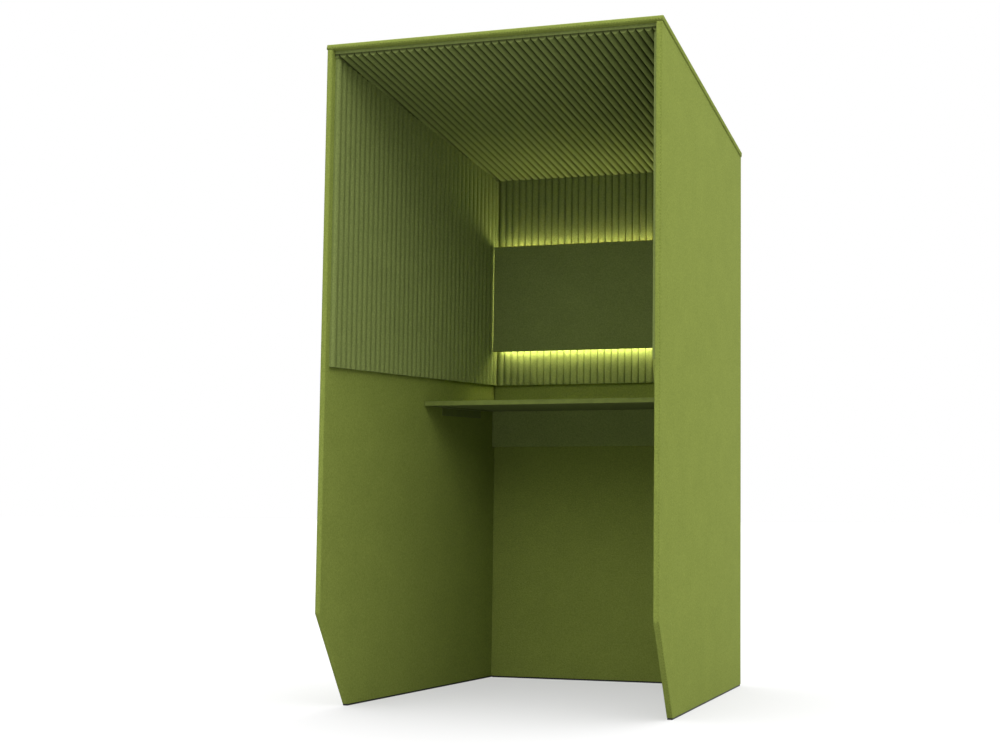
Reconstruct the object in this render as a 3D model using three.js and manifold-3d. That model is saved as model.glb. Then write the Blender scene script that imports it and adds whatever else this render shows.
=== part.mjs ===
// Acoustic office pod: felt-covered walls that open out to the front, a roof that falls to the back,
// ribbed sound linings, a bar-height desk and a back-lit lamp panel. Millimetres, +Z up, +Y to the back.
import * as THREE from 'three';
import { ConvexGeometry } from 'three/addons/geometries/ConvexGeometry.js';
import { mergeVertices } from 'three/addons/utils/BufferGeometryUtils.js';
import Module from 'manifold-3d';

const wasm = await Module();
wasm.setup();

// Overall sizes
const FRONT_WIDTH = 1194; // outside of the side walls at the front
const BACK_WIDTH = 1014; // outside of the side walls at the back
const DEPTH = 1110;
const FRONT_HEIGHT = 2200; // top of the roof at the front
const BACK_HEIGHT = 1980; // top of the roof at the back
const TOE_HEIGHT = 313; // where the front edge of a side wall turns back
const TOE_SETBACK = 162; // how far it has turned back at the floor
const ROOF_OVERHANG = 3;
const BACK_REVEAL = 4; // back wall set in from the rear edges of the side walls

// Boards, felt and clearances
const WALL_BOARD = 15;
const ROOF_BOARD = 12;
const FELT = 2.5;
const FIT = 0.3; // gap left between pieces that seat on each other
const RUN_OUT = 10; // how far a cavity's shape runs past the face that it opens

// Base rails and levelling feet
const BASE_HEIGHT = 6;
const BASE_INSET = 2;
const FOOT_INSET = 70; // foot centre from the end of its rail
const FOOT_RADIUS = 6.5;
const FOOT_PAD = 3.2;
const FOOT_LIFT = 0.4; // pad above the floor when screwed right in
const STEM_RADIUS = 4;
const STEM_LENGTH = 34;
const ROUND_SIDES = 12;

// Ribbed linings
const RIB_PITCH = 27.9;
const RIB_DEPTH = 10;
const RIB_STEPS = 6;
const LINER_BASE = 4;
const LINER_BOTTOM = 1118;
const LINER_SETBACK = 20;
const CEILING_RIB = 13;
const CEILING_BASE_FRONT = 10;
const CEILING_BASE_BACK = 39; // the ceiling lining thickens to the back
const CEILING_SETBACK = 16;

// Desk
const DESK_TOP = 1033;
const DESK_BOARD = 14;
const DESK_SHEET = 2;
const DESK_EDGE = 2;
const DESK_SETBACK = 593; // front of the desk behind the front of the pod
const RAIL_HEIGHT = 134;
const RAIL_BOARD = 12;
const ANGLE_LEG = 30;
const ANGLE_PLATE = 3;
const ANGLE_SETBACK = 120; // behind the desk's front edge
const ANGLE_REAR_GAP = 90; // in front of the rail

// Lamp panel
const PANEL_TOP = 1653;
const PANEL_BOTTOM = 1245;
const PANEL_BOARD = 12;
const PANEL_SIDE_GAP = 5; // between the panel's ends and the side linings
const PANEL_STANDOFF = 26; // between the back lining and the panel
const HANGER_LENGTH = 500;
const HANGER_DROP = 110; // hanger web below the top of the panel
const HANGER_PLATE = 2;
const HANGER_FLANGE = 16;
const HANGER_REACH = 12; // wall hanger's web, out from the lining
const HANGER_HOOK = 12; // height of the wall hanger's lip above its web
const HANGER_SLACK = 4; // under the panel hanger's web
const BUFFER_RADIUS = 8;
const BUFFER_INSET = 90;
const BUFFER_RISE = 70;

// Lights
const LIGHT_INSET = 12; // channel in from the panel's edges
const CHANNEL_WIDTH = 16;
const CHANNEL_DEPTH = 10;
const CHANNEL_WALL = 1.2;
const STRIP_WIDTH = 10;
const STRIP_PLATE = 1.2;
const DIFFUSER_PLATE = 1.5;
const DRIVER_LENGTH = 150;
const DRIVER_HEIGHT = 42;
const DRIVER_DEPTH = 20;
const DRIVER_RISE = 150; // bottom of the driver above the bottom of the panel
const INLET_WIDTH = 46;
const INLET_HEIGHT = 30;
const INLET_FLANGE = 6; // flange lip round the inlet's body
const INLET_PLATE = 2.5;
const INLET_RECESS = [26, 18, 16]; // width, height and depth of the plug recess
const INLET_FLOOR = 3; // behind the plug recess

// Rocker switch
const SWITCH_LENGTH = 26;
const SWITCH_WIDTH = 17;
const SWITCH_HEIGHT = 16;
const SWITCH_WALL = 2;
const SWITCH_RISE = 4; // above the panel's lower edge
const SWITCH_INSET = 24; // in from the panel's right end
const SWITCH_ROOM = 80; // length of the lower edge kept free of lights
const ROCKER_CLEARANCE = 0.8;
const ROCKER_TILT = THREE.MathUtils.degToRad(7);
const ROCKER_DROP = 2.6;
const ROCKER_BODY = 4;
const PIVOT_RADIUS = 1.2;
const PIVOT_BITE = 1.3; // how far the pivot goes into each side of the housing

// Concealed dowels
const DOWEL_RADIUS = 4;
const DOWEL_IN_EDGE = 30;
const DOWEL_IN_FACE = 8;
const CORNER_DOWEL_HEIGHTS = { lower: 480, upper: 1480 };
const ROOF_DOWEL_INSET = 180; // from the front and back of the roof

// Derived planes and angles
const halfDepth = DEPTH / 2;
const splay = Math.atan((FRONT_WIDTH - BACK_WIDTH) / 2 / DEPTH);
const roofPitch = Math.atan((FRONT_HEIGHT - BACK_HEIGHT) / DEPTH);
const skin = FELT + FIT;
const wall = WALL_BOARD + 2 * skin;
const roof = ROOF_BOARD + 2 * skin;
const liner = LINER_BASE + RIB_DEPTH;
const wallFrontY = -halfDepth + wall * Math.sin(splay);
const wallRun = (DEPTH - wall * Math.sin(splay)) / Math.cos(splay);
const roofRun = (DEPTH - roof * Math.sin(roofPitch)) / Math.cos(roofPitch);
const backOuter = halfDepth - BACK_REVEAL;
const backInner = backOuter - wall;
const backCrest = backInner - FIT - liner;
const panelBack = backCrest - PANEL_STANDOFF;
const panelFront = panelBack - PANEL_BOARD - skin;
const deskFront = -halfDepth + DESK_SETBACK;
const deskUnder = DESK_TOP - DESK_SHEET - FIT - DESK_BOARD;
const railFront = backInner - FIT - RAIL_BOARD - skin;

// Half the clear width between the side walls at depth y
function innerHalf(y) {
  return FRONT_WIDTH / 2 - wall * Math.cos(splay) - (y + halfDepth) * Math.tan(splay);
}

// Underside of the roof at depth y
function roofUnder(y) {
  return FRONT_HEIGHT - roof * Math.cos(roofPitch) - (y + halfDepth) * Math.tan(roofPitch);
}

// Depth of the ceiling lining's flat base at depth y
function ceilingBase(y) {
  return CEILING_BASE_FRONT + ((CEILING_BASE_BACK - CEILING_BASE_FRONT) * (y + halfDepth)) / DEPTH;
}

// Height of the ceiling ribs' crests at depth y
function ceilingCrest(y) {
  return roofUnder(y) - (FIT + ceilingBase(y) + CEILING_RIB) / Math.cos(roofPitch);
}

// Finishes
const finishes = {
  felt: { color: 0x8d9e44, roughness: 0.95, metalness: 0 },
  board: { color: 0xb39468, roughness: 0.8, metalness: 0 },
  desk: { color: 0x7d8d3e, roughness: 0.7, metalness: 0 },
  black: { color: 0x1c1d1a, roughness: 0.55, metalness: 0 },
  aluminium: { color: 0xb9bbb8, roughness: 0.4, metalness: 0.9 },
  steel: { color: 0x9a9c9c, roughness: 0.35, metalness: 0.9 },
  circuit: { color: 0xe9e6d8, roughness: 0.6, metalness: 0 },
  opal: { color: 0xf4ffc2, roughness: 0.5, metalness: 0 },
  white: { color: 0xe4e4de, roughness: 0.5, metalness: 0 },
  dowel: { color: 0xc8a878, roughness: 0.75, metalness: 0 },
};

const pod = new THREE.Group();

function addGroup(parent = pod) {
  const group = new THREE.Group();
  parent.add(group);
  return group;
}

function addPiece(name, geometry, finish, parent = pod) {
  const mesh = new THREE.Mesh(geometry, new THREE.MeshStandardMaterial(finishes[finish]));
  mesh.name = name;
  parent.add(mesh);
  return mesh;
}

// Joining and cutting of closed meshes
function solidOf(geometry) {
  const bare = geometry.clone();
  bare.deleteAttribute('normal');
  bare.deleteAttribute('uv');
  const merged = mergeVertices(bare, 1e-4);
  return new wasm.Manifold(new wasm.Mesh({
    numProp: 3,
    vertProperties: new Float32Array(merged.attributes.position.array),
    triVerts: new Uint32Array(merged.index.array),
  }));
}

function geometryOf(solid) {
  const { vertProperties, triVerts } = solid.getMesh();
  const geometry = new THREE.BufferGeometry();
  geometry.setAttribute('position', new THREE.BufferAttribute(new Float32Array(vertProperties), 3));
  geometry.setIndex(new THREE.BufferAttribute(new Uint32Array(triVerts), 1));
  geometry.computeVertexNormals();
  return geometry;
}

function cut(geometry, ...tools) {
  return geometryOf(tools.reduce((solid, tool) => solid.subtract(solidOf(tool)), solidOf(geometry)));
}

function join(geometry, ...others) {
  return geometryOf(others.reduce((solid, other) => solid.add(solidOf(other)), solidOf(geometry)));
}

function trim(geometry, bounds) {
  return geometryOf(solidOf(geometry).intersect(solidOf(bounds)));
}

// Cuts a shape that stands in frame, a group or piece of the pod, out of other pieces
function drill(shape, frame, ...pieces) {
  pod.updateMatrixWorld(true);
  for (const piece of pieces) {
    const toPiece = piece.matrixWorld.clone().invert().multiply(frame.matrixWorld);
    piece.geometry = cut(piece.geometry, shape.clone().applyMatrix4(toPiece));
  }
}

// Basic solids
function box(x0, x1, y0, y1, z0, z1) {
  const geometry = new THREE.BoxGeometry(x1 - x0, y1 - y0, z1 - z0);
  return geometry.translate((x0 + x1) / 2, (y0 + y1) / 2, (z0 + z1) / 2);
}

function plate(outline, depth) {
  const shape = new THREE.Shape(outline.map(([x, y]) => new THREE.Vector2(x, y)));
  return new THREE.ExtrudeGeometry(shape, { depth, bevelEnabled: false });
}

// Round bar standing on z = bottom
function roundBar(radius, bottom, top) {
  const geometry = new THREE.CylinderGeometry(radius, radius, top - bottom, ROUND_SIDES);
  return geometry.rotateX(Math.PI / 2).translate(0, 0, (bottom + top) / 2);
}

// Turns a plate drawn in (run, height) with its thickness upward into the pod's (y, z) with thickness in x
function standUp(geometry) {
  const axes = [new THREE.Vector3(0, 1, 0), new THREE.Vector3(0, 0, 1), new THREE.Vector3(1, 0, 0)];
  return geometry.applyMatrix4(new THREE.Matrix4().makeBasis(...axes));
}

// Turns a section drawn in (y, z) into a bar along x, centred on x = 0
function barAlongX(section, length) {
  return standUp(plate(section, length)).translate(-length / 2, 0, 0);
}

// Moves each edge of a convex anticlockwise outline in by its own distance
function insetOutline(outline, distances) {
  const edges = outline.map(([x, y], i) => {
    const [nextX, nextY] = outline[(i + 1) % outline.length];
    const length = Math.hypot(nextX - x, nextY - y);
    const normal = [-(nextY - y) / length, (nextX - x) / length];
    return { normal, offset: normal[0] * x + normal[1] * y + distances[i] };
  });
  return edges.map((edge, i) => {
    const before = edges[(i + edges.length - 1) % edges.length];
    const [a, b] = before.normal;
    const [c, d] = edge.normal;
    const cross = a * d - b * c;
    return [(before.offset * d - edge.offset * b) / cross, (a * edge.offset - c * before.offset) / cross];
  });
}

// Height of a rib above its valley, from one valley (0) to the next (1)
function ribHeight(share, depth) {
  return depth * Math.sqrt(Math.sin(Math.PI * share));
}

// Ribbed edge from one end to the other: [place along, height above the base]
function ribbedEdge(start, end, ribs, depth) {
  const points = [];
  for (let step = 0; step <= ribs * RIB_STEPS; step += 1) {
    const share = (step % RIB_STEPS) / RIB_STEPS;
    const along = start + ((end - start) * step) / (ribs * RIB_STEPS);
    points.push([along, share === 0 ? 0 : ribHeight(share, depth)]);
  }
  return points;
}

// Sends the top of an upright plate of height 1 to topAt(x, y) and its bottom to bottom
function stretchUpright(geometry, bottom, topAt) {
  const { position } = geometry.attributes;
  for (let i = 0; i < position.count; i += 1) {
    const isTop = position.getZ(i) > 0.5;
    position.setZ(i, isTop ? topAt(position.getX(i), position.getY(i)) : bottom);
  }
  return geometry;
}

// Side wall: felt sleeve, board, base rail and ribbed lining. inward is +1 on the left wall, -1 on the right
function buildSideWall(side, inward) {
  const group = addGroup();
  group.position.set((-inward * FRONT_WIDTH) / 2, wallFrontY, 0);
  group.rotation.z = -inward * splay;
  const acrossFrom = (start, thickness) => (inward > 0 ? start : -start - thickness);
  const topAt = (run) => roofUnder(wallFrontY + run * Math.cos(splay)) - FIT;
  const outline = [
    [TOE_SETBACK, BASE_HEIGHT],
    [wallRun, BASE_HEIGHT],
    [wallRun, topAt(wallRun)],
    [0, topAt(0)],
    [0, TOE_HEIGHT],
  ];
  const wallPlate = (bottomInset, inset) => {
    const points = insetOutline(outline, [bottomInset, inset, inset, inset, inset]);
    const thickness = wall - 2 * inset;
    return standUp(plate(points, thickness)).translate(acrossFrom(inset, thickness), 0, 0);
  };
  const sleeve = cut(wallPlate(0, 0), wallPlate(-RUN_OUT, FELT));
  const cover = addPiece(`${side}_wall_cover`, sleeve, 'felt', group);
  const board = addPiece(`${side}_wall_board`, wallPlate(0, skin), 'board', group);

  const railStart = TOE_SETBACK + BASE_INSET;
  const railEnd = wallRun - BASE_INSET;
  const railWidth = wall - 2 * BASE_INSET;
  const railLeft = acrossFrom(BASE_INSET, railWidth);
  const railBox = box(railLeft, railLeft + railWidth, railStart, railEnd, 0, BASE_HEIGHT);
  const rail = addPiece(`${side}_base_rail`, railBox, 'black', group);
  const middle = acrossFrom(wall / 2, 0);
  addFoot(`${side}_front_foot`, middle, railStart + FOOT_INSET, group, rail, board);
  addFoot(`${side}_back_foot`, middle, railEnd - FOOT_INSET, group, rail, board);

  const faceX = wall + FIT;
  const linerEnd = (backInner - FIT - wallFrontY + faceX * Math.sin(splay)) / Math.cos(splay);
  const ribs = Math.round((linerEnd - LINER_SETBACK) / RIB_PITCH);
  const edge = ribbedEdge(LINER_SETBACK, linerEnd, ribs, RIB_DEPTH);
  const ribbed = edge.map(([along, high]) => [LINER_BASE + high, along]);
  const section = [[0, LINER_SETBACK], ...ribbed, [0, linerEnd]];
  const points = section.map(([across, along]) => [inward * (faceX + across), along]);
  const worldY = (x, y) => wallFrontY + y * Math.cos(splay) - Math.abs(x) * Math.sin(splay);
  const topOf = (x, y) => ceilingCrest(worldY(x, y)) - FIT;
  addPiece(`${side}_liner`, stretchUpright(plate(points, 1), LINER_BOTTOM, topOf), 'felt', group);

  const angleStart = (deskFront + ANGLE_SETBACK - wallFrontY) / Math.cos(splay);
  const angleTop = deskUnder - FIT;
  const upright = acrossFrom(faceX, ANGLE_PLATE);
  const ledge = acrossFrom(faceX, ANGLE_LEG);
  const angleEnd = (railFront - ANGLE_REAR_GAP - wallFrontY) / Math.cos(splay);
  const angle = join(
    box(upright, upright + ANGLE_PLATE, angleStart, angleEnd, angleTop - ANGLE_LEG, angleTop),
    box(ledge, ledge + ANGLE_LEG, angleStart, angleEnd, angleTop - ANGLE_PLATE, angleTop),
  );
  addPiece(`${side}_desk_angle`, angle, 'black', group);
  return { cover, board };
}

// Levelling foot: a pad on a stem, screwed right up into its rail and board
function addFoot(name, x, y, parent, rail, board) {
  const padTop = FOOT_LIFT + FOOT_PAD;
  const profile = [
    [0, FOOT_LIFT],
    [FOOT_RADIUS, FOOT_LIFT],
    [FOOT_RADIUS, padTop],
    [STEM_RADIUS, padTop],
    [STEM_RADIUS, padTop + STEM_LENGTH],
    [0, padTop + STEM_LENGTH],
  ].map(([radius, height]) => new THREE.Vector2(radius, height));
  const geometry = new THREE.LatheGeometry(profile, ROUND_SIDES).rotateX(Math.PI / 2);
  const foot = addPiece(name, geometry, 'steel', parent);
  foot.position.set(x, y, 0);
  drill(roundBar(FOOT_RADIUS + FIT, -RUN_OUT, padTop + FIT), foot, rail);
  drill(roundBar(STEM_RADIUS + FIT, 0, padTop + STEM_LENGTH + FIT), foot, rail, board);
}

// Upright slab between the side walls with ends that follow them and a top that follows the roof
function backSlab(front, back, bottom, inset) {
  const corners = [];
  for (const y of [front, back]) {
    const half = innerHalf(y) - (FIT + inset) / Math.cos(splay);
    const top = roofUnder(y) - (FIT + inset) / Math.cos(roofPitch);
    for (const x of [-half, half]) {
      corners.push(new THREE.Vector3(x, y, bottom), new THREE.Vector3(x, y, top));
    }
  }
  return new ConvexGeometry(corners);
}

// Back wall: felt sleeve, board, base rail and the ribbed lining between the side linings
function buildBackWall() {
  const cavity = backSlab(backInner + FELT, backOuter - FELT, BASE_HEIGHT - RUN_OUT, FELT);
  const sleeve = cut(backSlab(backInner, backOuter, BASE_HEIGHT, 0), cavity);
  const cover = addPiece('back_wall_cover', sleeve, 'felt');
  const boardSlab = backSlab(backInner + skin, backOuter - skin, BASE_HEIGHT, skin);
  const board = addPiece('back_wall_board', boardSlab, 'board');

  const railHalf = innerHalf(backOuter) - FIT - BASE_INSET;
  const railBox = box(-railHalf, railHalf, backInner + BASE_INSET, backOuter - BASE_INSET, 0, BASE_HEIGHT);
  const rail = addPiece('back_base_rail', railBox, 'black');
  const middle = (backInner + backOuter) / 2;
  addFoot('back_left_foot', -railHalf + FOOT_INSET, middle, pod, rail, board);
  addFoot('back_right_foot', railHalf - FOOT_INSET, middle, pod, rail, board);

  const faceY = backInner - FIT;
  const half = innerHalf(faceY) - (2 * FIT + liner) / Math.cos(splay);
  const ribs = Math.round((2 * half) / RIB_PITCH);
  const edge = ribbedEdge(-half, half, ribs, RIB_DEPTH);
  const ribbed = edge.map(([along, high]) => [along, faceY - LINER_BASE - high]);
  const points = [[-half, faceY], ...ribbed, [half, faceY]];
  const topOf = (x, y) => ceilingCrest(y) - FIT;
  addPiece('back_liner', stretchUpright(plate(points, 1), LINER_BOTTOM, topOf), 'felt');
  return { cover, board };
}

// Roof: felt sleeve, open at the back, on its board
function buildRoof() {
  const group = addGroup();
  group.position.set(0, -halfDepth + roof * Math.sin(roofPitch), FRONT_HEIGHT);
  group.rotation.x = -roofPitch;
  const frontHalf = FRONT_WIDTH / 2 + ROOF_OVERHANG;
  const backHalf = frontHalf - roofRun * Math.cos(roofPitch) * Math.tan(splay);
  const outline = [[-frontHalf, 0], [frontHalf, 0], [backHalf, roofRun], [-backHalf, roofRun]];
  const roofPlate = (backInset, inset) => {
    const points = insetOutline(outline, [inset, inset, backInset, inset]);
    return plate(points, roof - 2 * inset).translate(0, 0, inset - roof);
  };
  const sleeve = cut(roofPlate(0, 0), roofPlate(-RUN_OUT, FELT));
  const cover = addPiece('roof_cover', sleeve, 'felt', group);
  const board = addPiece('roof_board', roofPlate(0, skin), 'board', group);
  return { group, cover, board };
}

// Ceiling lining: ribs run front to back, and its sides are trimmed to the side walls
function buildCeilingLiner() {
  const front = -halfDepth + CEILING_SETBACK;
  const back = backInner - FIT;
  const ribs = 2 * Math.ceil(innerHalf(front) / RIB_PITCH);
  const half = (ribs * RIB_PITCH) / 2;
  const edge = ribbedEdge(-half, half, ribs, CEILING_RIB);
  const points = [[-half, 1], ...edge.map(([along, high]) => [along, -high]), [half, 1]];
  const lining = plate(points, 1);
  const { position } = lining.attributes;
  for (let i = 0; i < position.count; i += 1) {
    const y = position.getZ(i) > 0.5 ? back : front;
    const below = position.getY(i) > 0.5 ? 0 : ceilingBase(y) - position.getY(i);
    position.setXYZ(i, -position.getX(i), y, roofUnder(y) - (FIT + below) / Math.cos(roofPitch));
  }
  const sides = [front - RUN_OUT, back + RUN_OUT].map((y) => [innerHalf(y) - FIT / Math.cos(splay), y]);
  const [[frontHalf, frontY], [backHalf, backY]] = sides;
  const plan = [[-frontHalf, frontY], [frontHalf, frontY], [backHalf, backY], [-backHalf, backY]];
  addPiece('ceiling_liner', trim(lining, plate(plan, FRONT_HEIGHT)), 'felt');
}

// Desk: board with a front edge strip and a top sheet, on a felt-covered rail along the back wall
function buildDesk() {
  const back = backInner - FIT;
  const deskPlan = (front) => {
    const frontHalf = innerHalf(front) - FIT / Math.cos(splay);
    const backHalf = innerHalf(back) - FIT / Math.cos(splay);
    return [[-frontHalf, front], [frontHalf, front], [backHalf, back], [-backHalf, back]];
  };
  const boardFront = deskFront + DESK_EDGE + FIT;
  const boardPlate = plate(deskPlan(boardFront), DESK_BOARD).translate(0, 0, deskUnder);
  addPiece('desk_board', boardPlate, 'board');
  const sheet = plate(deskPlan(deskFront), DESK_SHEET).translate(0, 0, DESK_TOP - DESK_SHEET);
  addPiece('desk_top_sheet', sheet, 'desk');
  const edgeHalf = innerHalf(deskFront + DESK_EDGE) - FIT / Math.cos(splay);
  const edge = box(-edgeHalf, edgeHalf, deskFront, deskFront + DESK_EDGE, deskUnder, deskUnder + DESK_BOARD);
  addPiece('desk_front_edge', edge, 'desk');

  const half = innerHalf(back) - FIT / Math.cos(splay);
  const top = deskUnder - FIT;
  const bottom = top - RAIL_HEIGHT;
  const feltBack = railFront + FELT;
  addPiece('desk_rail_board', box(-half, half, back - RAIL_BOARD, back, bottom + skin, top), 'board');
  const wrap = cut(
    box(-half, half, railFront, back, bottom, top),
    box(-half - RUN_OUT, half + RUN_OUT, feltBack, back + RUN_OUT, bottom + FELT, top + RUN_OUT),
  );
  addPiece('desk_rail_cover', wrap, 'felt');
}

// Lamp panel: board in a felt tray, hung on a hooked hanger, with buffers, lights, driver and switch.
// Gives the height of the driver's middle
function buildLampPanel() {
  const half = innerHalf(panelBack) - FIT - liner / Math.cos(splay) - PANEL_SIDE_GAP;
  const boardHalf = half - skin;
  const boardFront = panelBack - PANEL_BOARD;
  const boardBox = box(-boardHalf, boardHalf, boardFront, panelBack, PANEL_BOTTOM + skin, PANEL_TOP - skin);
  addPiece('lamp_panel_board', boardBox, 'board');
  const feltHalf = half - FELT;
  const feltBack = panelFront + FELT;
  const tray = cut(
    box(-half, half, panelFront, panelBack, PANEL_BOTTOM, PANEL_TOP),
    box(-feltHalf, feltHalf, feltBack, panelBack + RUN_OUT, PANEL_BOTTOM + FELT, PANEL_TOP - FELT),
  );
  addPiece('lamp_panel_cover', tray, 'felt');
  buildHangers();
  for (const [side, sign] of [['left', -1], ['right', 1]]) {
    const length = PANEL_STANDOFF - 2 * FIT;
    const buffer = roundBar(BUFFER_RADIUS, 0, length).rotateX(-Math.PI / 2);
    const place = [sign * (half - BUFFER_INSET), panelBack + FIT, PANEL_BOTTOM + BUFFER_RISE];
    addPiece(`${side}_lamp_buffer`, buffer, 'black').position.set(...place);
  }
  const edgeX = half - LIGHT_INSET;
  const lowZ = PANEL_BOTTOM + LIGHT_INSET + CHANNEL_WIDTH / 2;
  const highZ = PANEL_TOP - LIGHT_INSET - CHANNEL_WIDTH / 2;
  const uprightLength = highZ - lowZ - CHANNEL_WIDTH - 2 * FIT;
  const uprightX = edgeX - CHANNEL_WIDTH / 2;
  addLight('top', 2 * edgeX, 0, highZ, 0);
  addLight('bottom', 2 * edgeX - SWITCH_ROOM, -SWITCH_ROOM / 2, lowZ, 0);
  addLight('left', uprightLength, -uprightX, (lowZ + highZ) / 2, Math.PI / 2);
  addLight('right', uprightLength, uprightX, (lowZ + highZ) / 2, Math.PI / 2);

  const driverBack = panelBack + FIT + DRIVER_DEPTH;
  const driverLow = PANEL_BOTTOM + DRIVER_RISE;
  const driverHigh = driverLow + DRIVER_HEIGHT;
  const driverHalf = DRIVER_LENGTH / 2;
  const driver = box(-driverHalf, driverHalf, panelBack + FIT, driverBack, driverLow, driverHigh);
  addPiece('lamp_driver', driver, 'white');
  buildSwitch(half - SWITCH_INSET - SWITCH_LENGTH / 2);
  return (driverLow + driverHigh) / 2;
}

// Hooked hangers: the wall one holds up a lip, and the panel one hangs its own lip behind it
function buildHangers() {
  const web = PANEL_TOP - HANGER_DROP;
  const wallFace = backCrest - FIT;
  const lipFront = wallFace - HANGER_REACH;
  const lipBack = lipFront + HANGER_PLATE;
  const flangeFront = wallFace - HANGER_PLATE;
  const wallSection = [
    [wallFace, web - HANGER_FLANGE],
    [wallFace, web + HANGER_PLATE],
    [lipBack, web + HANGER_PLATE],
    [lipBack, web + HANGER_PLATE + HANGER_HOOK],
    [lipFront, web + HANGER_PLATE + HANGER_HOOK],
    [lipFront, web],
    [flangeFront, web],
    [flangeFront, web - HANGER_FLANGE],
  ];
  addPiece('lamp_wall_hanger', barAlongX(wallSection, HANGER_LENGTH), 'aluminium');

  const panelFace = panelBack + FIT;
  const hookMiddle = (lipBack + flangeFront) / 2;
  const hookFront = hookMiddle - HANGER_PLATE / 2;
  const hookBack = hookMiddle + HANGER_PLATE / 2;
  const hookLow = web + HANGER_PLATE + FIT;
  const topLow = web + HANGER_PLATE + HANGER_HOOK + HANGER_SLACK;
  const topHigh = topLow + HANGER_PLATE;
  const panelSection = [
    [panelFace, topLow - HANGER_FLANGE],
    [panelFace + HANGER_PLATE, topLow - HANGER_FLANGE],
    [panelFace + HANGER_PLATE, topLow],
    [hookFront, topLow],
    [hookFront, hookLow],
    [hookBack, hookLow],
    [hookBack, topHigh],
    [panelFace, topHigh],
  ];
  addPiece('lamp_panel_hanger', barAlongX(panelSection, HANGER_LENGTH), 'aluminium');
}

// One run of light on the panel's back: a channel open to the wall, a strip of lights and a diffuser
function addLight(place, length, x, z, turn) {
  const group = addGroup();
  group.position.set(x, panelBack + FIT, z);
  group.rotation.y = turn;
  const side = CHANNEL_WIDTH / 2;
  const inside = side - CHANNEL_WALL;
  const section = [
    [0, -side],
    [CHANNEL_DEPTH, -side],
    [CHANNEL_DEPTH, -inside],
    [CHANNEL_WALL, -inside],
    [CHANNEL_WALL, inside],
    [CHANNEL_DEPTH, inside],
    [CHANNEL_DEPTH, side],
    [0, side],
  ];
  addPiece(`${place}_light_channel`, barAlongX(section, length), 'aluminium', group);
  const stripBack = CHANNEL_WALL + FIT;
  const half = length / 2;
  const strip = box(-half, half, stripBack, stripBack + STRIP_PLATE, -STRIP_WIDTH / 2, STRIP_WIDTH / 2);
  addPiece(`${place}_light_strip`, strip, 'circuit', group);
  const lens = inside - FIT;
  const diffuser = box(-half, half, CHANNEL_DEPTH - DIFFUSER_PLATE, CHANNEL_DEPTH, -lens, lens);
  addPiece(`${place}_light_diffuser`, diffuser, 'opal', group);
}

// Rocker switch behind the panel's lower right corner, opening downward
function buildSwitch(x) {
  const low = PANEL_BOTTOM + SWITCH_RISE;
  const front = panelBack + FIT;
  const middleY = front + SWITCH_WIDTH / 2;
  const half = SWITCH_LENGTH / 2;
  const openHalf = half - SWITCH_WALL;
  const openWidth = SWITCH_WIDTH - 2 * SWITCH_WALL;
  const pivotZ = low + ROCKER_BODY;
  const high = low + SWITCH_HEIGHT;
  const housing = box(x - half, x + half, front, front + SWITCH_WIDTH, low, high);
  const cavityBack = front + SWITCH_WALL + openWidth;
  const cavityTop = high - SWITCH_WALL;
  const cavity = box(x - openHalf, x + openHalf, front + SWITCH_WALL, cavityBack, low - RUN_OUT, cavityTop);
  const pivotReach = openWidth / 2 + PIVOT_BITE;
  const pivotHole = roundBar(PIVOT_RADIUS + FIT, -pivotReach, pivotReach);
  pivotHole.rotateX(Math.PI / 2).translate(x, middleY, pivotZ);
  addPiece('switch_housing', cut(housing, cavity, pivotHole), 'black');

  const end = openHalf - ROCKER_CLEARANCE;
  const section = [
    [-end, -ROCKER_BODY - ROCKER_DROP / 2],
    [0, -ROCKER_BODY + ROCKER_DROP / 2],
    [end, -ROCKER_BODY - ROCKER_DROP / 2],
    [end, 0],
    [0, ROCKER_BODY],
    [-end, 0],
  ];
  const width = openWidth - 2 * FIT;
  const paddle = plate(section, width).rotateX(Math.PI / 2).translate(0, width / 2, 0);
  const pin = roundBar(PIVOT_RADIUS, FIT - pivotReach, pivotReach - FIT).rotateX(Math.PI / 2);
  const rocker = addPiece('switch_rocker', join(paddle, pin), 'black');
  rocker.position.set(x, middleY, pivotZ);
  rocker.rotation.y = -ROCKER_TILT;
}

// Mains inlet let into the back wall from the rear, with a plug recess
function buildInlet(middleZ, back) {
  const half = INLET_WIDTH / 2;
  const low = middleZ - INLET_HEIGHT / 2;
  const high = middleZ + INLET_HEIGHT / 2;
  const [recessWidth, recessHeight, recessDepth] = INLET_RECESS;
  const flangeFront = backOuter + FIT;
  const rear = flangeFront + INLET_PLATE;
  const body = box(-half, half, rear - recessDepth - INLET_FLOOR, rear, low, high);
  const flange = box(
    -half - INLET_FLANGE,
    half + INLET_FLANGE,
    flangeFront,
    rear,
    low - INLET_FLANGE,
    high + INLET_FLANGE,
  );
  const recessZ = [middleZ - recessHeight / 2, middleZ + recessHeight / 2];
  const recess = box(-recessWidth / 2, recessWidth / 2, rear - recessDepth, rear + RUN_OUT, ...recessZ);
  addPiece('power_inlet', cut(join(body, flange), recess), 'black');
  const hole = box(-half - FIT, half + FIT, backInner + FELT + FIT / 2, rear, low - FIT, high + FIT);
  drill(hole, pod, back.cover, back.board);
}

// Dowel with the bores that hold it, turned from +Z to its place in its parent
function addDowel(name, from, to, place, turn, parent, hosts) {
  const dowel = addPiece(name, roundBar(DOWEL_RADIUS, from, to), 'dowel', parent);
  dowel.position.copy(place);
  dowel.rotation.set(...turn);
  drill(roundBar(DOWEL_RADIUS + FIT, from - FIT, to + FIT), dowel, ...hosts);
}

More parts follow.
